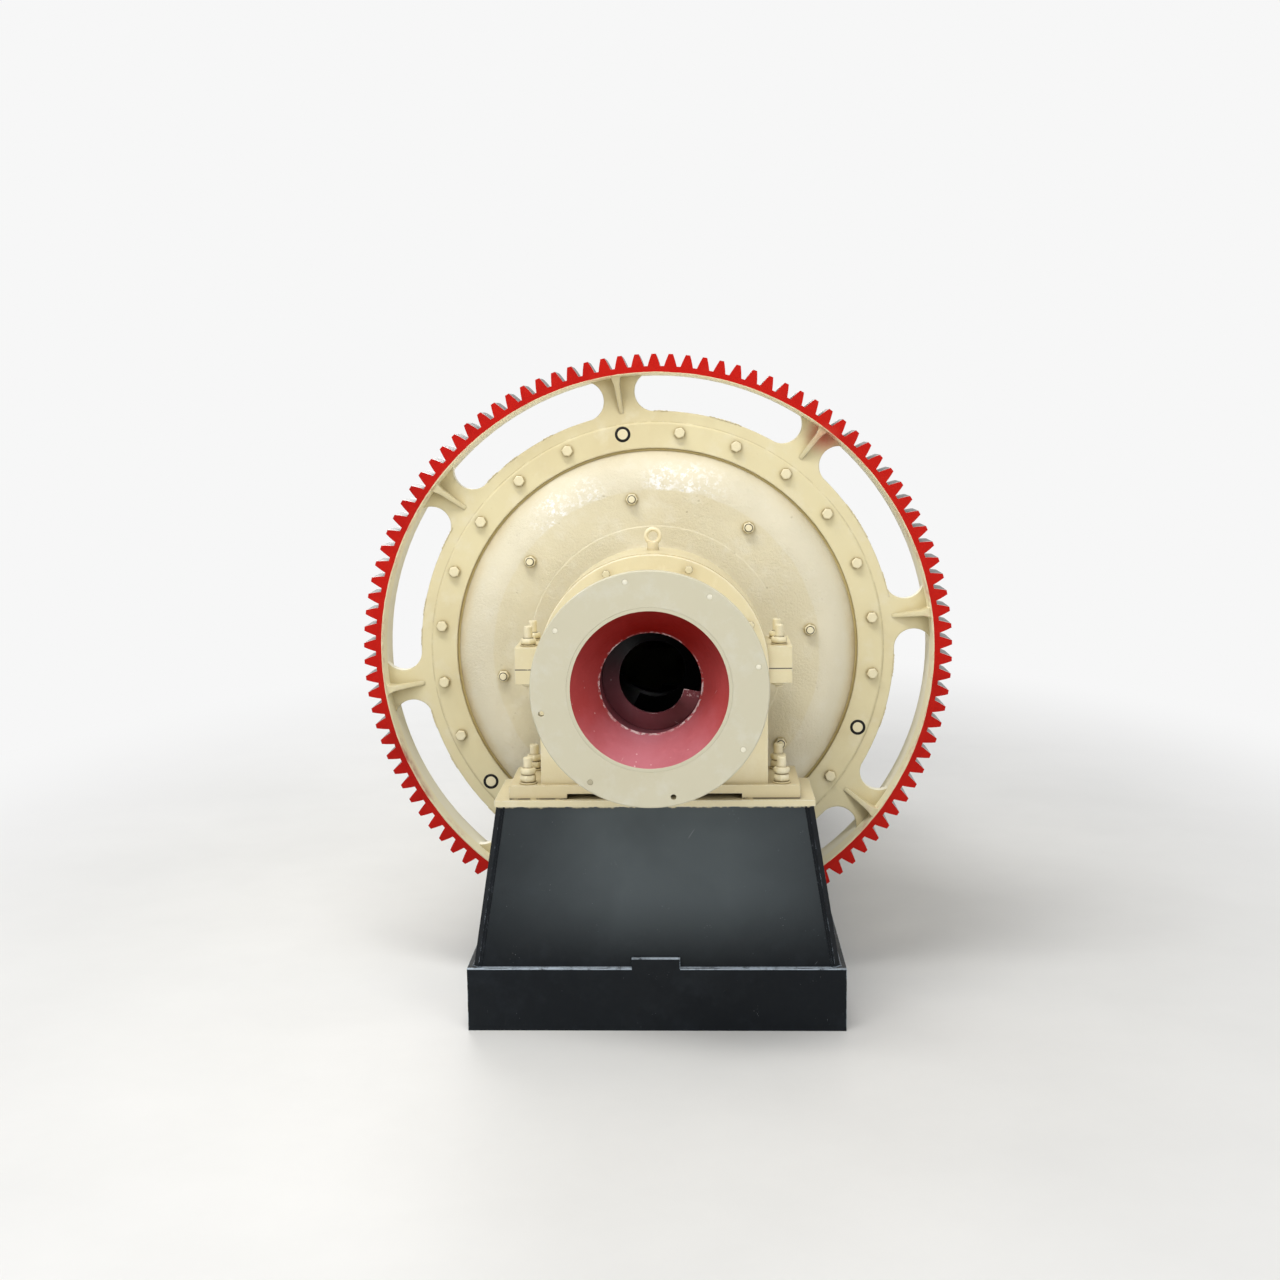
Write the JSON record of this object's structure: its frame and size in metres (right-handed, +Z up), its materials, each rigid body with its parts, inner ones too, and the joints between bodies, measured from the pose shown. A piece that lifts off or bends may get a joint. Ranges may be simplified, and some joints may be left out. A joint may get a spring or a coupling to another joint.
{
  "type": "trunnion ball mill with girth gear",
  "caption": "Horizontal trunnion ball mill: geared drum turning in two split bearings on welded pedestals and a channel-iron base.",
  "frame": {"origin": "on the floor, under the middle of the drum", "axes": "+Z up, +Y along the mill axis from the geared discharge end to the feed end, +X to the right as seen from the discharge end"},
  "size_m": [1.5398, 3.238, 1.676],
  "materials": {
    "cream_paint": "cream enamel over steel, satin, worn at edges",
    "cream_casting": "cream enamel over rough cast iron",
    "black_paint": "satin black enamel with chips and scratches",
    "red_gear": "red enamel on the gear faces, bare machined tooth flanks, cream web",
    "red_paint": "red enamel, scuffed pale where the lining is worn",
    "bush_metal": "bearing metal",
    "liner_steel": "rough wear plate"
  },
  "bodies": {
    "frame": {"base_side_channel_left": "black_paint", "base_side_channel_right": "black_paint", "base_front_channel": "black_paint", "base_rear_channel": "black_paint", "base_cross_channels": "black_paint", "discharge_pedestal_front_plate": "black_paint", "discharge_pedestal_rear_plate": "black_paint", "discharge_pedestal_side_plates": "black_paint", "discharge_sole_plate": "cream_paint", "discharge_bearing_housing": "cream_paint", "discharge_bearing_cap": "cream_paint", "discharge_bearing_bush": "bush_metal", "discharge_outer_cover_ring": "cream_paint", "discharge_inner_cover_ring": "cream_paint", "discharge_lifting_eye": "cream_paint", "feed_pedestal_front_plate": "black_paint", "feed_pedestal_rear_plate": "black_paint", "feed_pedestal_side_plates": "black_paint", "feed_sole_plate": "cream_paint", "feed_bearing_housing": "cream_paint", "feed_bearing_cap": "cream_paint", "feed_bearing_bush": "bush_metal", "feed_outer_cover_ring": "cream_paint", "feed_inner_cover_ring": "cream_paint", "feed_lifting_eye": "cream_paint", "bearing_cap_studs": "cream_paint", "foundation_studs": "cream_paint"},
    "rotor": {"drum_shell": "cream_paint", "drum_liner": "liner_steel", "discharge_shell_flange": "cream_paint", "feed_shell_flange": "cream_paint", "manhole_frame": "cream_paint", "manhole_cover": "cream_paint", "girth_gear": "red_gear", "gear_locating_pins": "cream_paint", "discharge_end_cover": "cream_casting", "feed_end_cover": "cream_casting", "discharge_trunnion_liner": "red_paint", "discharge_spiral_flight": "red_paint", "discharge_mouth_flange": "cream_paint", "feed_trunnion_liner": "red_paint", "feed_spiral_flight": "red_paint", "feed_mouth_flange": "cream_paint"}
  },
  "joints": [
    {"name": "drum_rotation", "type": "hinge", "parent": "frame", "child": "rotor", "pos_m": [0, 0, 0.906], "axis": [0, 1, 0], "continuous": true}
  ]
}
